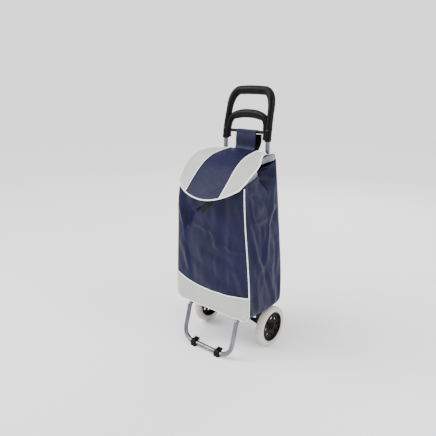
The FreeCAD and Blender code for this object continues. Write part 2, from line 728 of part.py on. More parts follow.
for word, side in sides.items():
    upright_tube(word, side)
    wheel_bracket(word, side)
    tyre(word, side)
    hub(word, side)
    foot_clip(word, side)
    gusset(word, side)
    tube_sleeve(word, side)
handle_moulding()
cross_screws("handle_screws", "handle_foot + 20", "upright_y + post_depth / 2 - 0.8")
cross_screws("bracket_screws", "bag_floor + 12", "upright_y + tube_radius + socket_wall")
axle_parts()
foot_frame()
pivot_pins()
cross_panel("bag_front_panel", "bag_front", "cloth", "bag_floor - skirt", "bag_top - 74")
cross_panel("bag_back_panel", "bag_back - cloth", "cloth", "bag_floor", "bag_top + 13", "3")
bag_floor_pieces()
trim_panel()
mouth_collar()
flap()
hanging_strap()
closing_strap()

doc.recompute()
for obj in doc.Objects:
    if {"Invalid", "Error"} & set(obj.State):
        raise RuntimeError(f"{obj.Label} failed: {obj.State}")
os.makedirs("parts", exist_ok=True)
for obj in nodes:
    shape = obj.Shape
    if shape.isNull() or not shape.isValid():
        raise RuntimeError(obj.Label + " has no valid shape")
    shape.exportStep(f"parts/{obj.Label}.step")
    print(f"{obj.Label}: {len(shape.Solids)} solid(s), {shape.Volume / 1000:.1f} cm3")
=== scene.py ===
import json
import math

import bpy
import numpy as np
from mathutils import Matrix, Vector, noise


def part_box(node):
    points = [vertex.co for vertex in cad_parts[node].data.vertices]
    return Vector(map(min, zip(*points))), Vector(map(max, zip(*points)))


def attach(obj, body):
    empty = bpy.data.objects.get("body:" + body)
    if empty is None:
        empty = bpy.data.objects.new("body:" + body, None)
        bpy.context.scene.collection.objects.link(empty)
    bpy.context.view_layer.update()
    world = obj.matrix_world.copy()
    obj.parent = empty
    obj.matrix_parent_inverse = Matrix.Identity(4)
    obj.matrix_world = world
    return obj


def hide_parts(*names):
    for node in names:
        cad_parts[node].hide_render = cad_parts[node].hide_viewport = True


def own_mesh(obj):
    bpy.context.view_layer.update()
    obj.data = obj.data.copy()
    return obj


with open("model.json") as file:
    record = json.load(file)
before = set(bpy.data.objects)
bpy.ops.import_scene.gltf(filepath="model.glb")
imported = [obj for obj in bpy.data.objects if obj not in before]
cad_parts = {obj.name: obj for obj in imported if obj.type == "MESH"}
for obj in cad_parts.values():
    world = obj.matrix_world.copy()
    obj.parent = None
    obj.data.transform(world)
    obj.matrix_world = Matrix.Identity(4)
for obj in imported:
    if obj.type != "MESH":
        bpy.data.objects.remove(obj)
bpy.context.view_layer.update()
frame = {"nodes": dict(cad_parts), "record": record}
nodes = frame["nodes"]
print("frame loaded:", len(nodes), "CAD nodes")


# Tools for meshes

def lowOf(node):
    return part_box(node)[0]


def highOf(node):
    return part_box(node)[1]


def ease(value, low, high):
    t = np.clip((np.asarray(value, float) - low) / (high - low), 0, 1)
    return t * t * (3 - 2 * t)


def deselect():
    if bpy.context.object and bpy.context.object.mode != "OBJECT":
        bpy.ops.object.mode_set(mode="OBJECT")
    bpy.ops.object.select_all(action="DESELECT")


def pick(piece):
    deselect()
    piece.select_set(True)
    bpy.context.view_layer.objects.active = piece


def newPiece(name):
    piece = bpy.context.object
    piece.name = piece.data.name = name
    return piece


def readPoints(piece):
    flat = np.zeros(len(piece.data.vertices) * 3)
    piece.data.vertices.foreach_get("co", flat)
    return flat.reshape(-1, 3)


def writePoints(piece, points):
    piece.data.vertices.foreach_set("co", np.asarray(points, float).ravel())
    piece.data.update()


def applyModifier(piece, kind, **settings):
    pick(piece)
    modifier = piece.modifiers.new(kind.title(), kind)
    for word, value in settings.items():
        setattr(modifier, word, value)
    bpy.ops.object.modifier_apply(modifier=modifier.name)


def editAll(piece, *steps):
    pick(piece)
    bpy.ops.object.mode_set(mode="EDIT")
    bpy.ops.mesh.select_all(action="SELECT")
    for step in steps:
        step()
    bpy.ops.object.mode_set(mode="OBJECT")


def mergePoints():
    bpy.ops.mesh.remove_doubles(threshold=1e-5)


def selectNothing():
    bpy.ops.mesh.select_all(action="DESELECT")


def turnOutward():
    bpy.ops.mesh.normals_make_consistent(inside=False)


def clothGrid(name, columns, rows, place, cut):
    # a flat cut of cloth whose points are then laid in place; its UV map keeps the flat sizes
    deselect()
    bpy.ops.mesh.primitive_grid_add(x_subdivisions=columns, y_subdivisions=rows, size=1, location=(0, 0, 0))
    piece = newPiece(name)
    points = readPoints(piece)
    writePoints(piece, place(points[:, 0] + 0.5, points[:, 1] + 0.5))
    layer = piece.data.uv_layers[0].data
    flat = np.zeros(len(layer) * 2)
    layer.foreach_get("uv", flat)
    layer.foreach_set("uv", (flat.reshape(-1, 2) * cut).ravel())
    bpy.ops.object.shade_smooth()
    return piece


def pipingAlong(name, path, radius, closed=False, sides=2):
    deselect()
    curve = bpy.data.curves.new(name, "CURVE")
    curve.dimensions = "3D"
    spline = curve.splines.new("POLY")
    spline.points.add(len(path) - 1)
    spline.points.foreach_set("co", np.column_stack([path, np.ones(len(path))]).ravel())
    spline.use_cyclic_u = closed
    curve.bevel_depth = radius
    curve.bevel_resolution = sides
    curve.use_fill_caps = not closed
    piece = bpy.data.objects.new(name, curve)
    bpy.context.scene.collection.objects.link(piece)
    pick(piece)
    bpy.ops.object.convert(target="MESH")
    piece = newPiece(name)
    bpy.ops.object.shade_smooth()
    return piece


def ripple(points, stretch, height, seed):
    # smooth uneven wrinkles: a height for each point, its noise stretched along each axis
    scaled = np.asarray(points, float) * stretch
    return np.array([noise.noise(Vector((p[0], p[1], p[2] + seed))) for p in scaled]) * height


def squaredRound(turn, power):
    # a circle from -1 to 1 both ways; the smaller the power, the squarer it is
    wide, tall = np.cos(turn), np.sin(turn)
    return np.sign(wide) * np.abs(wide) ** power, np.sign(tall) * np.abs(tall) ** power


def through(knots, at):
    # a smooth value along a few (place, value) knots
    places, values = np.array(knots, float).T
    slopes = np.gradient(values, places)
    at = np.clip(at, places[0], places[-1])
    i = np.clip(np.searchsorted(places, at, side="right") - 1, 0, len(places) - 2)
    span = places[i + 1] - places[i]
    t = (at - places[i]) / span
    return (values[i] * (2 * t**3 - 3 * t**2 + 1) + slopes[i] * span * (t**3 - 2 * t**2 + t)
            + values[i + 1] * (3 * t**2 - 2 * t**3) + slopes[i + 1] * span * (t**3 - t**2))


# Materials

def tone(red, green, blue):
    # screen values, 0 to 255, as the linear colour that a shader takes
    scaled = [value / 255 for value in (red, green, blue)]
    return (*[v / 12.92 if v <= 0.04045 else ((v + 0.055) / 1.055) ** 2.4 for v in scaled], 1)


def newMaterial(name, sockets):
    made = bpy.data.materials.new(name)
    made.use_nodes = True
    shader = made.node_tree.nodes["Principled BSDF"]
    for socket, value in sockets.items():
        shader.inputs[socket].default_value = value
    return made


def addNode(material, kind, sockets=None, **settings):
    made = material.node_tree.nodes.new("ShaderNode" + kind)
    for word, value in settings.items():
        setattr(made, word, value)
    for socket, value in (sockets or {}).items():
        made.inputs[socket].default_value = value
    return made


def join(material, source, output, target, socket):
    material.node_tree.links.new(source.outputs[output], target.inputs[socket])


def shaderOf(material):
    return material.node_tree.nodes["Principled BSDF"]


def coordinates(material, kind, stretch=(1, 1, 1)):
    # the piece's own places, or the flat sizes of its cloth, stretched along each axis
    source = addNode(material, "TexCoord")
    mapping = addNode(material, "Mapping", {"Scale": stretch})
    join(material, source, kind, mapping, "Vector")
    return mapping


def mottle(material, space, colours, scale, detail=4.0, span=(0.3, 0.7)):
    # colour that wanders between two tones
    spots = addNode(material, "TexNoise", {"Scale": scale, "Detail": detail, "Roughness": 0.6})
    ramp = addNode(material, "ValToRGB")
    for stop, (position, colour) in enumerate(zip(span, colours)):
        ramp.color_ramp.elements[stop].position = position
        ramp.color_ramp.elements[stop].color = colour
    join(material, space, "Vector", spots, "Vector")
    join(material, spots, "Fac", ramp, "Fac")
    join(material, ramp, "Color", shaderOf(material), "Base Color")


def roughBetween(material, space, low, high, scale):
    # gloss that changes a little from spot to spot
    spots = addNode(material, "TexNoise", {"Scale": scale, "Detail": 3.0})
    span = addNode(material, "MapRange", {"From Min": 0.3, "From Max": 0.7, "To Min": low, "To Max": high})
    join(material, space, "Vector", spots, "Vector")
    join(material, spots, "Fac", span, "Value")
    join(material, span, "Result", shaderOf(material), "Roughness")


def bumpFrom(material, source, output, strength, depth, below=None):
    bump = addNode(material, "Bump", {"Strength": strength, "Distance": depth})
    join(material, source, output, bump, "Height")
    if below:
        join(material, below, "Normal", bump, "Normal")
    join(material, bump, "Normal", shaderOf(material), "Normal")
    return bump


def weave(material, pitch, strength):
    # crossed threads on the cloth's own flat sizes
    space = coordinates(material, "UV")
    bands = []
    for direction in "XY":
        sockets = {"Scale": math.pi / (10 * pitch), "Distortion": 0.4, "Detail": 1.0}
        wave = addNode(material, "TexWave", sockets, wave_type="BANDS", bands_direction=direction)
        join(material, space, "Vector", wave, "Vector")
        bands.append(wave)
    cloth = addNode(material, "Math", operation="MULTIPLY")
    join(material, bands[0], "Fac", cloth, 0)
    join(material, bands[1], "Fac", cloth, 1)
    return bumpFrom(material, cloth, "Value", strength, pitch / 5)


def crumple(material, scale, strength, below=None, stretch=(1, 1, 1), depth=0.004):
    # the small creases that cloth keeps
    sockets = {"Scale": scale, "Detail": 5.0, "Roughness": 0.55, "Distortion": 0.6}
    spots = addNode(material, "TexNoise", sockets)
    join(material, coordinates(material, "Object", stretch), "Vector", spots, "Vector")
    bumpFrom(material, spots, "Fac", strength, depth, below)


def navyCloth():
    sheen = {"Sheen Weight": 0.03, "Sheen Roughness": 0.4, "Sheen Tint": tone(120, 124, 190)}
    made = newMaterial("navyPolyester", {**sheen, "Specular IOR Level": 0.16})
    mottle(made, coordinates(made, "Object"), (tone(8, 10, 38), tone(16, 18, 52)), 7)
    roughBetween(made, coordinates(made, "Object"), 0.36, 0.52, 14)
    crumple(made, 19, 0.85, weave(made, 0.0009, 0.25), (1, 1, 0.6))
    return made


def paleCloth():
    made = newMaterial("greyPolyester", {"Sheen Weight": 0.12, "Specular IOR Level": 0.35})
    mottle(made, coordinates(made, "Object"), (tone(160, 164, 155), tone(175, 179, 170)), 11)
    roughBetween(made, coordinates(made, "Object"), 0.5, 0.66, 30)
    crumple(made, 20, 0.12, weave(made, 0.0008, 0.2))
    return made


def collarCloth():
    made = newMaterial("silverLining", {"Sheen Weight": 0.2, "Specular IOR Level": 0.5})
    mottle(made, coordinates(made, "Object"), (tone(84, 88, 102), tone(146, 150, 164)), 30)
    roughBetween(made, coordinates(made, "Object"), 0.35, 0.5, 40)
    crumple(made, 60, 0.4, weave(made, 0.0006, 0.2), (1, 1, 0.3))
    return made


def webbing(name, dark, light):
    made = newMaterial(name, {"Sheen Weight": 0.03, "Specular IOR Level": 0.15})
    mottle(made, coordinates(made, "Object"), (dark, light), 60)
    roughBetween(made, coordinates(made, "Object"), 0.5, 0.7, 80)
    weave(made, 0.0016, 0.5)
    return made


def vinyl(name, dark, light, rough, grain=220.0, strength=0.08, coat=0.1, scale=40.0):
    # moulded or extruded plastic, with a fine grain and uneven gloss
    made = newMaterial(name, {"Coat Weight": coat, "Coat Roughness": 0.25, "Specular IOR Level": 0.08})
    space = coordinates(made, "Object")
    mottle(made, space, (dark, light), scale)
    roughBetween(made, space, rough[0], rough[1], scale * 1.7)
    spots = addNode(made, "TexNoise", {"Scale": grain, "Detail": 3.0})
    join(made, space, "Vector", spots, "Vector")
    bumpFrom(made, spots, "Fac", strength, 0.0006)
    return made


def metal(name, dark, light, rough, stretch):
    # drawn tube: faint long marks, and a finish that changes a little along it
    made = newMaterial(name, {"Metallic": 1.0, "Anisotropic": 0.3})
    mottle(made, coordinates(made, "Object", stretch), (dark, light), 30)
    roughBetween(made, coordinates(made, "Object", stretch), rough[0], rough[1], 60)
    marks = addNode(made, "TexNoise", {"Scale": 400.0, "Detail": 2.0})
    join(made, coordinates(made, "Object", stretch), "Vector", marks, "Vector")
    bumpFrom(made, marks, "Fac", 0.03, 0.0003)
    return made


def boardWood():
    made = newMaterial("pressedBoard", {"Specular IOR Level": 0.25})
    mottle(made, coordinates(made, "Object", (1, 6, 1)), (tone(92, 76, 60), tone(124, 104, 84)), 60)
    roughBetween(made, coordinates(made, "Object"), 0.7, 0.85, 50)
    crumple(made, 300, 0.15)
    return made


finish = {
    "navy_cloth": navyCloth(),
    "pale_cloth": paleCloth(),
    "collar_cloth": collarCloth(),
    "black_webbing": webbing("blackWebbing", tone(5, 5, 7), tone(13, 13, 16)),
    "white_piping": vinyl("whitePiping", tone(240, 241, 238), tone(250, 250, 248), (0.32, 0.45)),
    "tube_steel": metal("brightTube", tone(80, 82, 88), tone(128, 129, 134), (0.2, 0.34), (1, 1, 0.08)),
    "fastener_steel": metal("zincSteel", tone(104, 104, 108), tone(140, 140, 142), (0.3, 0.45), (1, 1, 1)),
    "handle_black": vinyl("glossyBlack", tone(4, 4, 5), tone(10, 10, 11), (0.26, 0.38), 700, 0.06, 0.03),
    "bracket_black": vinyl("satinBlack", tone(5, 5, 6), tone(12, 12, 13), (0.38, 0.52), 500, 0.1, 0),
    "hub_black": vinyl("hubBlack", tone(8, 6, 6), tone(18, 15, 14), (0.36, 0.5), 400, 0.1, 0),
    "tyre_pale": vinyl("paleFoam", tone(178, 173, 166), tone(198, 194, 188), (0.55, 0.72), 300, 0.2, 0, 26),
    "fibre_board": boardWood(),
}
slotOf = {part["node"]: part["material_slot"] for part in frame["record"]["subparts"]}


def dress(piece, slot):
    piece.data.materials.clear()
    piece.data.materials.append(finish[slot])


for name, carried in nodes.items():
    dress(carried, slotOf[name])
print("materials:", len(finish))


# Camera, lights and floor

# angles in radians, places in metres, lens and sensor in millimetres
view = {
    "turn": 0.7149, "pitch": 0.2841, "aim": (-0.0508, 0, 0.4697), "away": 1.7786,
    "lens": 39.95, "sensor": 36,
}


def addCamera():
    data = bpy.data.cameras.new("camera")
    data.lens = view["lens"]
    data.sensor_width = view["sensor"]
    camera = bpy.data.objects.new("camera", data)
    bpy.context.scene.collection.objects.link(camera)
    turn, pitch = view["turn"], view["pitch"]
    level = math.cos(pitch)
    back = Vector((math.sin(turn) * level, -math.cos(turn) * level, math.sin(pitch)))
    camera.location = Vector(view["aim"]) + back * view["away"]
    camera.rotation_euler = (-back).to_track_quat("-Z", "Y").to_euler()
    bpy.context.scene.camera = camera


studio = {
    "floorTone": (0.93, 0.93, 0.93, 1), "floorSize": 400,
    "sky": [(0.15, 1.66), (0.32, 0.6)],       # how steeply upward, power
    "suns": [("leftSun", (0.6, 0.75, -1.1), 3.4), ("rightSun", (-0.9, 0.25, -0.8), 1.6)],  # name, aim, power
    "sunSpread": 0.9,
    "boxesAim": (0, 0, 0.45),
    "boxes": [                                # name, place, size, power
        ("keyBox", (-1.9, -1.6, 1.9), 1.0, 30),
        ("rightBox", (2.6, 0.5, 1.7), 0.9, 24),
        ("topBox", (0.2, 0.4, 3.0), 2.0, 20),
        ("rearBox", (-0.8, 2.4, 1.6), 1.6, 20),
    ],
}


def addFloor():
    deselect()
    bpy.ops.mesh.primitive_plane_add(size=studio["floorSize"], location=(0, 0, 0))
    floor = newPiece("floor")
    made = newMaterial("paper", {"Roughness": 0.9, "Specular IOR Level": 0.1})
    shade = tuple(v * 0.99 for v in studio["floorTone"])
    mottle(made, coordinates(made, "Object"), (studio["floorTone"], shade), 3)
    floor.data.materials.append(made)


def addSky():
    # brighter near the horizon, so that the floor and what is behind it meet without a line
    world = bpy.data.worlds.new("studio")
    world.use_nodes = True
    tree = world.node_tree
    background = tree.nodes["Background"]
    background.inputs["Strength"].default_value = 1
    source = tree.nodes.new("ShaderNodeTexCoord")
    axes = tree.nodes.new("ShaderNodeSeparateXYZ")
    ramp = tree.nodes.new("ShaderNodeValToRGB")
    for stop, (height, power) in zip(ramp.color_ramp.elements, studio["sky"]):
        stop.position = height
        stop.color = (power, power, power, 1)
    tree.links.new(source.outputs["Generated"], axes.inputs["Vector"])
    tree.links.new(axes.outputs["Z"], ramp.inputs["Fac"])
    tree.links.new(ramp.outputs["Color"], background.inputs["Color"])
    bpy.context.scene.world = world


def addLamp(name, kind, power, aim):
    data = bpy.data.lights.new(name, kind)
    data.energy = power
    lamp = bpy.data.objects.new(name, data)
    bpy.context.scene.collection.objects.link(lamp)
    lamp.rotation_euler = aim.to_track_quat("-Z", "Y").to_euler()
    return lamp


def addLamps():
    for name, aim, power in studio["suns"]:
        addLamp(name, "SUN", power, Vector(aim)).data.angle = studio["sunSpread"]
    for name, place, size, power in studio["boxes"]:
        lamp = addLamp(name, "AREA", power, Vector(studio["boxesAim"]) - Vector(place))
        lamp.location = place
        lamp.data.size = size


addCamera()
addFloor()
addSky()
addLamps()
print("camera, lights and floor")


# Bag: one shell, lofted up from its floor, with the folds that limp cloth takes

bag = {
    "floor": lowOf("bag_floor_panel").z,
    "front": lowOf("bag_front_panel").y,
    "back": highOf("bag_back_panel").y - 0.001, "backIn": 0.001, "backFlat": (0.108, 0.138),
    "rear": [(0.15, 0.105), (0.40, 0.109), (0.58, 0.107), (0.65, 0.098), (0.72, 0.087)],  # up, depth
    "halfLow": 0.172, "halfHigh": 0.1435, "taper": (0.21, 0.62),
    "leftSide": [  # up, how far in
        (0.15, 0), (0.3, -0.003), (0.45, -0.010), (0.55, -0.014), (0.6, -0.006), (0.63, 0.006), (0.72, 0.01),
    ],
    "leftReach": 0.14,
    "frontTop": highOf("bag_front_panel").z - 0.006,
    "rearTop": highOf("bag_back_panel").z - 0.005, "rearTopAt": 0.090,
    "sideRound": 0.034, "rearRound": 0.042, "frontRound": 0.008,
    "seamRound": 0.004, "cornerRound": 0.018,
    "frontSwell": 0.007, "sideSwell": 0.004,
    "floorMiddle": (0.0, -0.01), "cloth": 0.0016,
}
bag["height"] = bag["frontTop"] - bag["floor"]
bagCounts = {
    "front": 64, "side": 40, "back": 56, "seam": 3, "corner": 6,
    "low": 9, "wall": 84, "floor": 9, "levels": 5,
}
pleat = {  # the deep tuck at the top of each side, across and up
    "depth": 0.050, "at": 0.032, "half": 0.012, "spread": 0.042,
    "starts": (0.592, 0.640), "ends": (0.655, 0.690), "widens": (0.59, 0.65),
}
leftFolds = {"squeeze": 0.94, "forward": 0.004, "up": 0.012}  # how they differ from the right side's
wander = {  # uneven wrinkles: stretch along each axis, height, seed
    "front": [((17, 1, 6), 0.0042, 3.1), ((40, 1, 22), 0.0022, 8.4)],
    "side": [((1, 20, 8), 0.0042, 5.7), ((1, 44, 24), 0.0024, 1.9)],
    "back": [((16, 1, 7), 0.0024, 2.2)],
}
# a fold's crest, the hollow beside it and how it dies away past its ends
foldShape = {"bend": 0.020, "power": 1.3, "hollow": 0.45, "hollowAt": 1.7, "gain": 1.15, "fade": 1.6}

# folds: start and end as (across, up), half width, height; a minus sign is a valley
frontFolds = [
    ((-0.122, 0.625), (-0.100, 0.474), 0.017, -0.0110), ((-0.040, 0.622), (-0.099, 0.476), 0.020, -0.0085),
    ((-0.137, 0.620), (-0.122, 0.400), 0.008, 0.0055), ((-0.100, 0.474), (0.010, 0.447), 0.008, 0.0028),
    ((0.010, 0.447), (0.030, 0.404), 0.010, 0.0022), ((0.030, 0.404), (0.130, 0.412), 0.008, 0.0026),
    ((-0.142, 0.430), (-0.106, 0.300), 0.011, 0.0036), ((-0.128, 0.420), (-0.090, 0.290), 0.010, -0.0026),
    ((0.034, 0.508), (0.024, 0.620), 0.020, 0.0032), ((0.092, 0.560), (0.086, 0.420), 0.018, 0.0028),
    ((0.060, 0.600), (0.052, 0.450), 0.016, -0.0026), ((-0.060, 0.330), (0.090, 0.280), 0.026, -0.0026),
    ((-0.020, 0.380), (0.110, 0.350), 0.014, -0.0022), ((0.118, 0.330), (0.144, 0.250), 0.012, 0.0026),
    ((-0.090, 0.250), (0.020, 0.240), 0.020, 0.0020),
]
sideFolds = [
    ((-0.064, 0.560), (-0.050, 0.506), 0.008, 0.0040), ((-0.052, 0.508), (-0.020, 0.494), 0.008, 0.0042),
    ((-0.020, 0.494), (0.036, 0.496), 0.009, 0.0036), ((0.036, 0.496), (0.064, 0.532), 0.008, 0.0042),
    ((-0.082, 0.500), (-0.036, 0.340), 0.009, 0.0050), ((-0.058, 0.500), (-0.022, 0.360), 0.009, -0.0036),
    ((0.034, 0.470), (0.000, 0.350), 0.008, 0.0046), ((-0.014, 0.470), (-0.004, 0.300), 0.010, -0.0040),
    ((-0.072, 0.610), (0.006, 0.556), 0.012, -0.0060), ((0.072, 0.600), (0.044, 0.520), 0.011, 0.0040),
    ((-0.050, 0.290), (-0.040, 0.200), 0.011, 0.0030), ((0.020, 0.300), (0.050, 0.190), 0.013, 0.0036),
    ((0.060, 0.420), (0.070, 0.240), 0.012, -0.0030), ((-0.020, 0.250), (0.010, 0.180), 0.009, -0.0024),
    ((0.086, 0.640), (0.092, 0.480), 0.010, 0.0030),
]
backFolds = [
    ((-0.050, 0.600), (0.000, 0.400), 0.020, 0.0030), ((0.060, 0.640), (0.030, 0.420), 0.018, -0.0030),
    ((0.020, 0.360), (-0.040, 0.220), 0.020, 0.0030), ((-0.070, 0.420), (-0.060, 0.240), 0.014, -0.0025),
]


def foldHeight(folds, across, up):
    total = np.zeros(len(across))
    bend = ripple(np.column_stack([across, up, up * 0]), (19, 11, 1), foldShape["bend"], 2.5)
    for (a0, z0), (a1, z1), width, height in folds:
        run = np.array([a1 - a0, z1 - z0])
        length = np.hypot(*run)
        along = ((across - a0) * run[0] + (up - z0) * run[1]) / length
        beside = ((across - a0) * run[1] - (up - z0) * run[0]) / length + bend
        beyond = np.maximum(np.maximum(-along, along - length), 0)
        hollow = np.exp(-((beside - foldShape["hollowAt"] * width) / width) ** 2)
        crest = np.exp(-np.abs(beside / width) ** foldShape["power"]) - foldShape["hollow"] * hollow
        total += foldShape["gain"] * height * crest * np.exp(-(beyond / (foldShape["fade"] * width)) ** 2)
    return total


def halfAt(up):
    return bag["halfLow"] + (bag["halfHigh"] - bag["halfLow"]) * ease(up, *bag["taper"])


def roundIn(up, radius):
    # how far a rounded bottom edge has turned in at a level
    return radius - np.sqrt(np.maximum(radius**2 - np.maximum(bag["floor"] + radius - up, 0) ** 2, 0))


def drawnIn(across, up):
    # the bag's left side bellies out below the flap and is pulled in under it
    return across + through(bag["leftSide"], up) * np.clip(-np.asarray(across) / bag["leftReach"], 0, 1)


def rearAt(up):
    return through(bag["rear"], up)


def seamHold(share):
    # folds die out at the seams, where share is 1 or -1
    return 1 - np.abs(share) ** 10


def wanderOn(face, points):
    return sum(ripple(points, *layer) for layer in wander[face])


def frontOut(across, share, up):
    rise = np.clip((up - bag["floor"]) / bag["height"], 0, 1)
    swell = bag["frontSwell"] * (1 - share**2) * np.sin(np.pi * rise) ** 0.7
    points = np.column_stack([across, np.zeros(len(across)), up])
    return swell + seamHold(share) * (foldHeight(frontFolds, across, up) + wanderOn("front", points))


def sideOut(across, share, up, side):
    drop = ease(up, *pleat["starts"]) * (1 - ease(up, *pleat["ends"]))
    reach = pleat["half"] + pleat["spread"] * ease(up, *pleat["widens"])
    tuck = -pleat["depth"] * drop * np.maximum(1 - np.abs(across - pleat["at"]) / reach, 0)
    points = np.column_stack([np.full(len(across), side * 0.3), across, up])
    swell = bag["sideSwell"] * (1 - share**2)
    if side > 0:
        folds = foldHeight(sideFolds, across, up)
    else:
        lie = across * leftFolds["squeeze"] - leftFolds["forward"]
        folds = foldHeight(sideFolds, lie, up + leftFolds["up"])
    return swell + seamHold(share) * (folds + wanderOn("side", points) + tuck)


def backOut(across, share, up):
    points = np.column_stack([across, np.full(len(across), 2.0), up])
    folds = foldHeight(backFolds, across, up) + wanderOn("back", points)
    return seamHold(share) * (np.minimum(folds, 0.0) - bag["backIn"])


def arcPoints(middle, radius, start, count):
    turn = np.radians(start + 90 * (np.arange(count) + 1) / (count + 1))
    return middle[0] + radius * np.cos(turn), middle[1] + radius * np.sin(turn)


def bagRing(up):
    # the bag's outline at a level, anticlockwise from the left end of its front
    half = halfAt(up) - roundIn(up, bag["sideRound"])
    front = bag["front"] + roundIn(up, bag["frontRound"])
    rear = rearAt(up) - roundIn(up, bag["rearRound"])
    seam, corner = bag["seamRound"], bag["cornerRound"]

    x = np.linspace(-half + seam, half - seam, bagCounts["front"])
    frontLine = front - frontOut(x, x / (half - seam), np.full(len(x), up))
    y = np.linspace(front + seam, rear - corner, bagCounts["side"])
    share = (2 * y - front - seam - rear + corner) / (rear - corner - front - seam)
    level = np.full(len(y), up)
    rearX = np.linspace(half - corner, corner - half, bagCounts["back"])
    pull = 1 - ease(np.abs(rearX), *bag["backFlat"])
    rearLine = rear - np.maximum(rear - bag["back"], 0) * pull
    rearLine = rearLine + backOut(rearX, rearX / (half - corner), np.full(len(rearX), up))
    parts = [
        (x, frontLine),
        arcPoints((half - seam, front + seam), seam, -90, bagCounts["seam"]),
        (half + sideOut(y, share, level, 1), y),
        arcPoints((half - corner, rear - corner), corner, 0, bagCounts["corner"]),
        (rearX, rearLine),
        arcPoints((corner - half, rear - corner), corner, 90, bagCounts["corner"]),
        ((-half - sideOut(y, share, level, -1))[::-1], y[::-1]),
        arcPoints((seam - half, front + seam), seam, 180, bagCounts["seam"]),
    ]
    ring = np.column_stack([np.concatenate(line) for line in zip(*parts)])
    ring[:, 0] = drawnIn(ring[:, 0], up)
    return np.vstack([ring, ring[:1]])


def topAt(y):
    share = np.clip((y - bag["front"]) / (bag["rearTopAt"] - bag["front"]), 0, 1)
    return bag["frontTop"] + (bag["rearTop"] - bag["frontTop"]) * share


def bagRows():
    turn = np.linspace(0, math.pi / 2, bagCounts["low"])
    lows = bag["floor"] + bag["rearRound"] * (1 - np.cos(turn))
    base = bagRing(lows[0])
    middle = np.array(bag["floorMiddle"])
    count = bagCounts["levels"]
    rows = []
    for share in np.linspace(0.04, 1, bagCounts["floor"], endpoint=False):
        ring = middle + (base - middle) * share
        rows.append(np.column_stack([ring, np.full(len(ring), lows[0])]))
    for up in lows:
        rows.append(np.column_stack([bagRing(up), np.full(len(base), up)]))
    top = topAt(base[:, 1])
    for share in np.linspace(0, 1, bagCounts["wall"])[1:]:
        # each column has its own top, so the ring is worked out at several levels and read between them
        level = lows[-1] + (top - lows[-1]) * share
        steps = np.linspace(level.min(), level.max(), count)
        rings = np.array([bagRing(step) for step in steps])
        spot = (level - steps[0]) / max(steps[-1] - steps[0], 1e-9) * (count - 1)
        i = np.clip(spot.astype(int), 0, count - 2)
        t = (spot - i)[:, None]
        columns = np.arange(len(level))
        rows.append(np.column_stack([rings[i, columns] * (1 - t) + rings[i + 1, columns] * t, level]))
    return np.array(rows)


def loftRows(name, rows, cut):
    count, columns = rows.shape[:2]

    def place(across, along):
        return rows[np.rint(along * (count - 1)).astype(int), np.rint(across * (columns - 1)).astype(int)]

    piece = clothGrid(name, columns - 1, count - 1, place, cut)
    editAll(piece, mergePoints)
    return piece


def closeFloor(shell):
    # the rim stays open; only the small hole in the middle of the floor is filled
    def openEdges():
        bpy.ops.mesh.select_mode(type="EDGE")
        bpy.ops.mesh.select_non_manifold(extend=False, use_wire=False, use_multi_face=False,
                                         use_non_contiguous=False, use_verts=False)

    editAll(shell, selectNothing, openEdges)
    for edge in shell.data.edges:
        if shell.data.vertices[edge.vertices[0]].co.z > bag["floor"] + bag["rearRound"]:
            edge.select = False
    bpy.ops.object.mode_set(mode="EDIT")
    bpy.ops.mesh.fill()
    bpy.ops.object.mode_set(mode="OBJECT")
    editAll(shell, turnOutward)


bagShell = loftRows("bag_shell", bagRows(), (0.98, 0.66))
closeFloor(bagShell)
bpy.ops.object.shade_smooth()
applyModifier(bagShell, "SOLIDIFY", thickness=bag["cloth"], offset=-1)
dress(bagShell, "navy_cloth")
print("bag shell:", len(bagShell.data.polygons), "faces")


def onFront(across, up, out=0.0):
    # a point on the front panel, out in front of the cloth
    x = np.atleast_1d(np.asarray(across, float))
    z = np.broadcast_to(np.asarray(up, float), x.shape).copy()
    half = halfAt(z) - roundIn(z, bag["sideRound"]) - bag["seamRound"]
    front = bag["front"] + roundIn(z, bag["frontRound"])
    y = front - frontOut(x, np.clip(x / half, -1, 1), z) - out
    return np.column_stack([drawnIn(x, z), y, z])


# Piping down both front seams and round the foot of the front panel

piping = {"radius": 0.0020, "edge": 0.0023, "seam": 0.0020, "sunk": 0.001}


def frontPipingPath():
    levels = np.linspace(bag["frontTop"] - 0.002, bag["floor"] + bag["sideRound"], 46)
    depth = bag["front"] + piping["sunk"]
    sides = []
    for side in (1, -1):
        across = [side * (halfAt(level) - piping["sunk"]) for level in levels]
        sides.append([(drawnIn(x, level), depth, level) for x, level in zip(across, levels)])
    half, radius, floor = halfAt(bag["floor"]), bag["sideRound"], bag["floor"]
    turn = np.linspace(0, math.pi / 2, 10)[1:]
    corner = [(half - radius + radius * math.cos(t), depth, floor + radius * (1 - math.sin(t))) for t in turn]
    middle = [(x, depth, floor) for x in np.linspace(half - radius, radius - half, 30)[1:-1]]
    otherCorner = [(-x, y, z) for x, y, z in reversed(corner)]
    return np.array(sides[0] + corner + middle + otherCorner + sides[1][::-1])


frontPiping = pipingAlong("front_piping", frontPipingPath(), piping["radius"])
dress(frontPiping, "white_piping")


# Trim: the pale band over the foot of the front panel, with its sagging piped edge

trim = {
    "middle": lowOf("bag_front_panel").z + 0.082, "left": 0.031, "right": 0.017,
    "cloth": 0.0014, "inset": 0.002, "out": 0.0022, "clear": 0.0006, "swell": 0.004, "wrinkle": 0.0012,
    "columns": 90,
}


def trimTop(share):
    return trim["middle"] + np.where(share < 0, trim["left"] * np.abs(share) ** 2.4,
                                     trim["right"] * np.abs(share) ** 2.2)


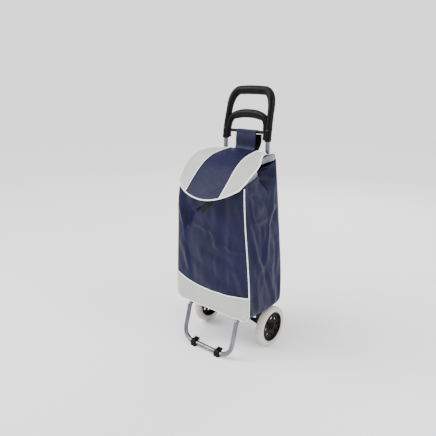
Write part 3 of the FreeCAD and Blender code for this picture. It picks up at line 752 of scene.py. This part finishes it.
def trimPlace(across, along):
    share = 2 * across - 1
    top = trimTop(share)
    low = bag["floor"] + 0.001
    up = low + (top - low) * along
    half = halfAt(up) - roundIn(up, bag["sideRound"]) - trim["inset"]
    points = onFront(share * half, up)
    points[:, 1] = bag["front"] + roundIn(up, bag["frontRound"]) - trim["out"]
    points[:, 1] -= trim["swell"] * (1 - share**2) * np.sin(np.pi * 0.5 * along)
    points[:, 1] -= ripple(points, (9, 1, 22), trim["wrinkle"], 6.3) * (1 - np.abs(share) ** 6)
    points[:, 1] = np.minimum(points[:, 1], onFront(share * half, up, trim["clear"])[:, 1])
    return points


trimPanel = clothGrid("trim_panel", trim["columns"], 22, trimPlace, (0.34, 0.1))
applyModifier(trimPanel, "SOLIDIFY", thickness=trim["cloth"], offset=0)
dress(trimPanel, "pale_cloth")
trimEdge = trimPlace(np.linspace(0, 1, trim["columns"]), np.ones(trim["columns"]))
trimEdge[:, 1] -= trim["clear"]
trimPiping = pipingAlong("trim_piping", trimEdge, piping["radius"])
dress(trimPiping, "white_piping")


# Mouth collar: a thin silvery band, gathered by its cord, standing up inside the bag's top edge

collar = {
    "level": 0.66, "middle": (0.0, -0.004), "inset": 0.0055, "narrows": 0.004, "cloth": 0.0012,
    "below": 0.012, "above": 0.008, "underFlap": 0.0095,
    "waves": 46, "wave": 0.0013, "uneven": (2.2, 9), "mean": 0.0014,
    "backClear": 0.004, "corner": 0.012, "cornerFrom": (0.105, 0.125),
}
# the flap's side view: depth, height
flapKnots = [
    (-0.158, 0.573), (-0.097, 0.634), (-0.053, 0.674), (-0.015, 0.697), (0.028, 0.7115), (0.085, 0.7225),
]


def flapHeight(y):
    return through(flapKnots, y)


def collarPlace(across, along):
    base = bagRing(collar["level"])
    middle = np.array(collar["middle"])
    spot = across * (len(base) - 1)
    i = np.clip(spot.astype(int), 0, len(base) - 2)
    ring = base[i] + (base[i + 1] - base[i]) * (spot - i)[:, None]
    outward = (ring - middle) / np.linalg.norm(ring - middle, axis=1)[:, None]
    swing, pace = collar["uneven"]
    phase = 2 * np.pi * collar["waves"] * across + swing * np.sin(pace * across)
    gather = collar["wave"] * np.sin(phase) * (1 - 0.4 * along)
    drawn = collar["inset"] + collar["narrows"] * along**2
    ring = ring - outward * (drawn + collar["mean"] + gather)[:, None]
    corner = collar["corner"] * ease(np.abs(ring[:, 0]), *collar["cornerFrom"])
    ring[:, 1] = np.minimum(ring[:, 1], bag["back"] - collar["backClear"] + corner)
    top = topAt(ring[:, 1])
    z = top - collar["below"] + (collar["below"] + collar["above"]) * along
    z = np.minimum(z, flapHeight(ring[:, 1]) - collar["underFlap"])
    return np.column_stack([ring, z])


mouthCollar = clothGrid("mouth_collar_cloth", 260, 10, collarPlace, (0.9, 0.03))
editAll(mouthCollar, mergePoints)
applyModifier(mouthCollar, "SOLIDIFY", thickness=collar["cloth"], offset=0)
dress(mouthCollar, "collar_cloth")
print("trim, piping and collar")


# Flap: three panels of one stiffened sheet, piped along its seams and all round

flap = {
    "half": 0.151, "middle": -0.010, "front": 0.1435, "rear": 0.083, "shift": 0.002,
    "leftWider": 0.011, "rightIn": 0.020, "lift": 0.010, "droop": 0.004, "wrinkle": 0.0022,
    "round": 0.275, "roundSides": (0.95, 0.8), "roundEnds": (1.9, 1.2),     # shares in front, behind
    "leftSeam": [(-1, -0.57), (-0.2, -0.49), (0.2, -0.45), (1, -0.38)],      # along, across
    "rightSeam": [(-1, 0.57), (-0.2, 0.47), (0.2, 0.45), (1, 0.50)],
    "thick": 0.0028, "edge": 0.0006, "lining": 0.0009, "liningGap": 0.0011,
    # the inset and radius of the black line beside each seam on the navy side, a line of painted shade
    "shadeLineIn": 0.0034, "darkLineRadius": 0.0014, "seamProud": 0.0004,
}


def flapPlace(u, v):
    # u runs across and v from front to rear, both from -1 to 1
    u, v = np.asarray(u, float), np.asarray(v, float)
    reach = np.where(v < 0, flap["front"], flap["rear"])
    half = np.where(u < 0, flap["half"] + flap["leftWider"], flap["half"])
    x = half * u * np.sqrt(1 - flap["round"] * v**2 * np.where(v < 0, *flap["roundSides"]))
    y = flap["middle"] + reach * v * np.sqrt(1 - flap["round"] * u**2 * np.where(v < 0, *flap["roundEnds"]))
    x = x + flap["shift"] - flap["rightIn"] * ease(u, 0.5, 1.0) * ease(v, -0.4, 0.4)
    z = flapHeight(y) - flap["droop"] * np.abs(u) ** 3
    z = z + flap["lift"] * ease(u, 0.45, 1.0) * ease(v, -0.1, 0.5) * (1 - 0.75 * ease(v, 0.55, 1.0))
    points = np.column_stack([x, y, z])
    points[:, 2] += ripple(points, (11, 11, 1), flap["wrinkle"], 7.7)
    return points


def seamAt(side, v):
    # where a seam runs on the flap: the middle panel widens to the front
    return through(flap["leftSeam"] if side < 0 else flap["rightSeam"], np.asarray(v, float))


def flapPanel(name, low, high, columns, slot):
    # a panel from one edge or seam to the next: 1 and -1 are edges, anything less is a seam
    def place(across, along):
        v = 2 * along - 1
        start = seamAt(low, v) if abs(low) < 1 else low
        end = seamAt(high, v) if abs(high) < 1 else high
        return flapPlace(start + (end - start) * across, v)

    panel = clothGrid(name, columns, 60, place, (flap["half"] * (high - low), 0.27))
    applyModifier(panel, "SOLIDIFY", thickness=flap["thick"], offset=0)
    applyModifier(panel, "BEVEL", width=flap["edge"], segments=2, angle_limit=1.0)
    dress(panel, slot)
    return panel


flapLeft = flapPanel("flap_left_cloth", -1, -0.5, 24, "pale_cloth")
flapCentre = flapPanel("flap_centre_cloth", -0.5, 0.5, 40, "navy_cloth")
flapRight = flapPanel("flap_right_cloth", 0.5, 1, 24, "pale_cloth")


def flapRim():
    # from one seam's rear end round the front to the other's
    run, full = np.linspace(-1, 1, 70), np.ones(70)
    rear, rearFull = np.linspace(0, 1, 24), np.ones(24)
    leftEnd, rightEnd = float(seamAt(-1, 1)), float(seamAt(1, 1))
    return np.vstack([
        flapPlace(leftEnd + (-1 - leftEnd) * rear, rearFull),
        flapPlace(-full, run[::-1])[1:],
        flapPlace(run, -full)[1:],
        flapPlace(full, run)[1:],
        flapPlace(1 + (rightEnd - 1) * rear, rearFull)[1:],
    ])


flapPiping = pipingAlong("flap_piping", flapRim(), piping["edge"])
dress(flapPiping, "white_piping")
seamPipings = []
for word, side in (("left", -1), ("right", 1)):
    run = np.linspace(-1, 1, 80)
    line = flapPlace(seamAt(side, run), run)
    line[:, 2] += flap["thick"] / 2 + flap["seamProud"]
    made = pipingAlong(f"flap_{word}_piping", line, piping["seam"])
    dress(made, "white_piping")
    seamPipings.append(made)
    # a thin black tube just inside each seam on the navy side: painted shade along the seam, so the pale
    # piping stands out against it
    line[:, 0] -= flap["shadeLineIn"] * side
    made = pipingAlong(f"flap_{word}_seam_shade", line - (0, 0, flap["seamProud"]), flap["darkLineRadius"])
    dress(made, "black_webbing")
    seamPipings.append(made)


def liningPlace(across, along):
    points = flapPlace(1.94 * across - 0.97, 1.95 * along - 0.97)
    points[:, 2] -= flap["thick"] / 2 + flap["liningGap"]
    return points


flapLining = clothGrid("flap_lining", 70, 50, liningPlace, (0.28, 0.26))
applyModifier(flapLining, "SOLIDIFY", thickness=flap["lining"], offset=0)
dress(flapLining, "black_webbing")
print("flap")


# Hanging strap: up from the flap, over the handle's bridge bar and down behind it

strap = {
    "half": (highOf("hanging_strap").x - lowOf("hanging_strap").x) / 2 - 0.0025,
    "foot": lowOf("hanging_strap").z + 0.013, "top": highOf("hanging_strap").z - 0.016,
    "near": lowOf("hanging_strap").y, "far": highOf("hanging_strap").y,
    "cloth": 0.0018, "shift": 0.004,
}


def strapPath():
    # the strap's side view, from the flap, over the bar and down to its back end
    near, far, top, foot = strap["near"], strap["far"] - 0.001, strap["top"] - 0.001, strap["foot"]
    rise = [(near - 0.004, foot - 0.004), (near + 0.0005, foot + 0.004), (near + 0.0035, foot + 0.04),
            (far - 0.0180, top - 0.010)]
    over = [(far - 0.0165, top - 0.003), (far - 0.009, top), (far - 0.001, top - 0.004), (far, top - 0.012)]
    return rise + over


def ribbon(name, path, half, cloth, columns, shift=0.0, wave=0.0, seed=0.0):
    # a band of cloth that follows a side view, wide along X
    path = np.array(path, float)
    lengths = np.concatenate([[0], np.cumsum(np.hypot(*np.diff(path, axis=0).T))])

    def place(across, along):
        spot = along * lengths[-1]
        y = through(np.column_stack([lengths, path[:, 0]]), spot)
        z = through(np.column_stack([lengths, path[:, 1]]), spot)
        x = (2 * across - 1) * half + shift
        points = np.column_stack([x, y, z])
        points[:, 1] += ripple(points, (18, 1, 14), wave, seed) * np.sin(np.pi * along)
        return points

    piece = clothGrid(name, columns, 60, place, (2 * half, lengths[-1]))
    applyModifier(piece, "SOLIDIFY", thickness=cloth, offset=0)
    return piece


hangingStrap = ribbon("hanging_strap_cloth", strapPath(), strap["half"], strap["cloth"], 30,
                      strap["shift"], 0.002, 4.4)
dress(hangingStrap, "navy_cloth")

lining = {
    "near": lowOf("strap_lining").y, "rear": highOf("strap_lining").y - 0.001,
    "low": lowOf("strap_lining").z + 0.004, "top": highOf("strap_lining").z - 0.016,
    "half": strap["half"] + 0.007, "cloth": 0.0016, "shift": strap["shift"] + 0.004,
}
liningPath = [
    (lining["rear"], lining["top"]), (lining["rear"] - 0.003, lining["top"] - 0.03),
    (lining["near"] + 0.004, lining["low"] + 0.02), (lining["near"] + 0.002, lining["low"]),
]
strapLining = ribbon("strap_lining_cloth", liningPath, lining["half"], lining["cloth"], 24,
                     lining["shift"], 0.0016, 9.1)
dress(strapLining, "black_webbing")


# Closing strap: narrow webbing that hangs askew from under the flap, with a moulded hook on its end

tail = {
    "low": lowOf("closing_strap"), "high": highOf("closing_strap"), "half": 0.0105, "thick": 0.0017,
    "inHigh": 0.010, "inLow": 0.008, "bow": 0.003, "cup": 0.0008,
    "stitches": {"upper": 0.16, "lower": 0.84}, "darkLineRadius": 0.0006,
}


def tailPlace(across, along):
    high = np.array([tail["high"].x - tail["inHigh"], tail["high"].z - tail["inHigh"]])
    low = np.array([tail["low"].x + tail["inLow"], tail["low"].z + tail["inLow"]])
    run = (low - high) / np.linalg.norm(low - high)
    centre = high + (low - high) * along[:, None]
    beside = np.array([-run[1], run[0]])
    spot = centre + beside * ((2 * across - 1) * tail["half"])[:, None]
    y = np.full(len(spot), tail["low"].y + 0.001) - tail["bow"] * np.sin(np.pi * along) * (1 - along)
    y += tail["cup"] * (2 * across - 1) ** 2
    return np.column_stack([spot[:, 0], y, spot[:, 1]])


closingStrap = clothGrid("closing_strap_webbing", 10, 60, tailPlace, (2 * tail["half"], 0.142))
applyModifier(closingStrap, "SOLIDIFY", thickness=tail["thick"], offset=0)
dress(closingStrap, "black_webbing")
tailRun = np.linspace(0.02, 0.98, 50)
tailStitching = []
for word, share in tail["stitches"].items():
    line = tailPlace(np.full(len(tailRun), share), tailRun) - (0, tail["thick"] / 2 + 0.0001, 0)
    made = pipingAlong(f"strap_{word}_seam_shade", line, tail["darkLineRadius"], sides=1)
    dress(made, "bracket_black")
    tailStitching.append(made)

hook = {"low": lowOf("strap_hook"), "high": highOf("strap_hook"), "radius": 0.0026}


def hookPath():
    low, high = hook["low"], hook["high"]
    y = (low.y + high.y) / 2
    z = (low.z + high.z) / 2
    return np.array([
        (high.x + 0.004, y, high.z + 0.002), (high.x - 0.002, y, z + 0.003),
        (low.x + 0.002, y, high.z - 0.004), (low.x - 0.001, y, z), (low.x + 0.003, y, low.z + 0.002),
    ])


strapHook = pipingAlong("strap_hook_moulding", hookPath(), hook["radius"], sides=4)
applyModifier(strapHook, "SUBSURF", levels=1, render_levels=1)
dress(strapHook, "bracket_black")
print("straps")


# Sleeves: the cloth channels on the bag's back that hold it to the uprights

channel = {"foot": 0.20, "long": 0.47, "radius": 0.0102, "twist": 0.0006, "crease": 0.0008, "cloth": 0.0012}


def sleevePiece(word):
    low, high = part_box(f"{word}_upright_tube")
    x, y = (low.x + high.x) / 2, (low.y + high.y) / 2

    def place(across, along):
        turn = 2 * np.pi * across
        up = channel["foot"] + channel["long"] * along
        radius = channel["radius"] + channel["twist"] * np.sin(3 * turn + 30 * up)
        radius = radius + channel["crease"] * np.sin(60 * along + turn)
        return np.column_stack([x + radius * np.cos(turn), y + radius * np.sin(turn), up])

    piece = clothGrid(f"{word}_sleeve", 24, 70, place, (0.066, channel["long"]))
    editAll(piece, mergePoints)
    applyModifier(piece, "SOLIDIFY", thickness=channel["cloth"], offset=0)
    dress(piece, "navy_cloth")
    return piece


sleeves = [sleevePiece("left"), sleevePiece("right")]


# Tyres: a pale foam section spun round, with a wavy tread on both shoulders

tyre = {
    "deep": 0.022, "square": 0.62, "around": 416, "section": 44,
    "waves": 26, "wave": 0.0044, "shoulder": 0.72, "shoulderWide": 0.2, "pinch": 0.035,
    "groove": 0.0012, "grooveSwing": 0.12, "grooveWide": 0.09,
    "lip": 0.0009, "lipDown": 0.42, "lipWide": 0.1,
}


def tyrePiece(name, node):
    low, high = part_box(node)
    middle = (low + high) / 2
    half = (high.x - low.x) / 2
    outer = (high.z - low.z) / 2
    inner = outer - tyre["deep"]

    def place(across, along):
        turn = 2 * np.pi * across
        side, rise = squaredRound(2 * np.pi * along, tyre["square"])
        radius = (outer + inner) / 2 + (outer - inner) / 2 * rise
        tread = ease(rise, 0.35, 0.98)
        scallop = 0.5 + 0.5 * np.cos(tyre["waves"] * turn + np.where(side > 0, 0.0, np.pi))
        shoulder = np.exp(-((np.abs(side) - tyre["shoulder"]) / tyre["shoulderWide"]) ** 2)
        radius = radius - tread * shoulder * tyre["wave"] * scallop
        swing = tyre["grooveSwing"] * np.sin(tyre["waves"] * turn)
        radius = radius - tread * tyre["groove"] * np.exp(-((side - swing) / tyre["grooveWide"]) ** 2)
        lip = np.exp(-((rise + tyre["lipDown"]) / tyre["lipWide"]) ** 2) * np.abs(side) ** 6
        x = half * side * (1 - tyre["pinch"] * tread * scallop) - np.sign(side) * tyre["lip"] * lip
        y, z = middle.y + radius * np.sin(turn), middle.z + radius * np.cos(turn)
        return np.column_stack([middle.x + x, y, z])

    piece = clothGrid(name, tyre["around"], tyre["section"], place, (0.45, 0.09))
    editAll(piece, mergePoints, turnOutward)
    dress(piece, "tyre_pale")
    return piece


leftTyre = tyrePiece("left_tyre_foam", "left_tyre")
rightTyre = tyrePiece("right_tyre_foam", "right_tyre")
print("sleeves and tyres")


# Handle: an outer loop with a broad top bar, an inner arch whose legs run down beside the posts, a bridge bar

handle = {
    "foot": lowOf("handle_moulding").z, "top": highOf("handle_moulding").z,
    "post": (lowOf("right_upright_tube").x + highOf("right_upright_tube").x) / 2,
    "depth": (lowOf("right_upright_tube").y + highOf("right_upright_tube").y) / 2,
    "lean": 0.036, "leanOver": 0.172, "square": 0.85,
    "loopHalf": [(0, 0.0107), (0.45, 0.0112), (0.66, 0.0145), (1, 0.0160)],     # along, half width
    "loopDeep": [(0, 0.0125), (0.45, 0.0120), (0.66, 0.0130), (1, 0.0140)],     # along, half depth
    "archIn": 0.011,
    "archHalf": [(0, 0.0085), (0.4, 0.0095), (0.62, 0.0140), (1, 0.0155)],
    "archDeep": [(0, 0.0115), (0.4, 0.0115), (0.62, 0.0125), (1, 0.0130)],
    "ridgeOut": 0.0122, "ridgeRadius": 0.0016, "ridgeShare": 0.96, "ridgeDown": 0.003,
    "bridgeUp": 0.0295, "bridgeRadius": 0.0056,
}


def leanAt(up):
    # the handle curves back as it rises
    rise = np.clip((up - handle["foot"]) / handle["leanOver"], 0, 1.1)
    return handle["depth"] + handle["lean"] * rise ** 1.4


def barLoft(name, halfPath, sections, depths, along=150, around=28):
    # a bar that follows a path, up and mirrored back down; sections and depths are its half sizes along it
    places = np.array(halfPath, float)
    whole = np.vstack([places * (-1, 1), places[::-1][1:]])
    lengths = np.concatenate([[0], np.cumsum(np.hypot(*np.diff(whole, axis=0).T))])
    lengths /= lengths[-1]
    spot = np.linspace(0, 1, along + 1)
    x = through(np.column_stack([lengths, whole[:, 0]]), spot)
    z = through(np.column_stack([lengths, whole[:, 1]]), spot)
    share = 1 - np.abs(2 * spot - 1)
    run = np.column_stack([np.gradient(x), np.gradient(z)])
    run /= np.linalg.norm(run, axis=1)[:, None]
    half, deep = through(sections, share), through(depths, share)

    def place(across, length):
        i = np.rint(length * along).astype(int)
        side, rise = squaredRound(2 * np.pi * across, handle["square"])
        side, rise = side * half[i], rise * deep[i]
        return np.column_stack([x[i] - run[i, 1] * side, leanAt(z[i]) + rise, z[i] + run[i, 0] * side])

    bar = clothGrid(name, around, along, place, (0.07, 0.5))
    editAll(bar, mergePoints, selectNothing, bpy.ops.mesh.select_non_manifold, bpy.ops.mesh.edge_face_add)
    editAll(bar, turnOutward)
    bpy.ops.object.shade_smooth_by_angle(angle=0.9)
    dress(bar, "handle_black")
    return bar


def ridgePath(halfPath):
    # along the front of the arch, from one leg over to the other
    places = np.array(halfPath, float) * (handle["ridgeShare"], 1) - (0, handle["ridgeDown"])
    whole = np.vstack([places * (-1, 1), places[::-1][1:]])
    knots = np.column_stack([whole[:, 0], leanAt(whole[:, 1]) - handle["ridgeOut"], whole[:, 1]])
    marks = np.linspace(0, 1, len(knots))
    run = np.linspace(0, 1, 90)
    return np.column_stack([through(np.column_stack([marks, line]), run) for line in knots.T])


post, foot, top = handle["post"], handle["foot"], handle["top"]
loopPath = [
    (post, foot), (post, foot + 0.048), (post - 0.002, foot + 0.093), (post - 0.005, foot + 0.128),
    (post - 0.013, top - 0.036), (post - 0.030, top - 0.020), (post - 0.056, top - 0.0168), (0, top - 0.0158),
]
handleLoop = barLoft("handle_loop", loopPath, handle["loopHalf"], handle["loopDeep"])
inner = post - handle["archIn"]
archPath = [
    (inner, foot + 0.004), (inner, foot + 0.040), (inner - 0.003, foot + 0.060),
    (inner - 0.013, foot + 0.077), (inner - 0.036, foot + 0.086), (0, foot + 0.091),
]
handleArch = barLoft("handle_arch", archPath, handle["archHalf"], handle["archDeep"])
handleRidge = pipingAlong("handle_ridge", ridgePath(archPath[1:]), handle["ridgeRadius"])
dress(handleRidge, "handle_black")
bridge = foot + handle["bridgeUp"]
bridgeLine = np.array([(x, leanAt(bridge), bridge) for x in np.linspace(-inner, inner, 24)])
handleBridge = pipingAlong("handle_bridge", bridgeLine, handle["bridgeRadius"], sides=4)
dress(handleBridge, "handle_black")
print("handle")


# What each piece rides on; the CAD nodes that the new pieces replace are hidden


def foldsFlat(piece, body):
    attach(piece, body)
    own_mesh(piece)


foldsFlat(bagShell, "frame")
foldsFlat(trimPanel, "frame")
foldsFlat(frontPiping, "frame")
foldsFlat(trimPiping, "frame")
foldsFlat(mouthCollar, "frame")
for piece, slot in (
    (flapLeft, "pale_cloth"), (flapCentre, "navy_cloth"), (flapRight, "pale_cloth"),
    (flapLining, "black_webbing"), (flapPiping, "white_piping"),
    (closingStrap, "black_webbing"), (strapHook, "bracket_black"),
):
    foldsFlat(piece, "flap")
for piece in seamPipings:
    foldsFlat(piece, "flap")
for piece in tailStitching:
    foldsFlat(piece, "flap")
for piece, slot in (
    (hangingStrap, "navy_cloth"), (strapLining, "black_webbing"),
    (sleeves[0], "navy_cloth"), (sleeves[1], "navy_cloth"),
    (handleLoop, "handle_black"), (handleArch, "handle_black"),
    (handleRidge, "handle_black"), (handleBridge, "handle_black"),
):
    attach(piece, "frame")
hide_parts("handle_moulding")
for piece, word in ((leftTyre, "left"), (rightTyre, "right")):
    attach(piece, f"{word}_wheel")
    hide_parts(f"{word}_tyre")

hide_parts("bag_front_panel", "bag_left_gusset", "bag_right_gusset",
            "bag_back_panel", "bag_floor_panel")
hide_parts("bag_trim_panel")
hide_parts("mouth_collar")
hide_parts("flap_left_panel")
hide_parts("flap_centre_panel")
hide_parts("flap_right_panel")
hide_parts("hanging_strap")
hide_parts("strap_lining")
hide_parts("closing_strap")
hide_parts("strap_hook")
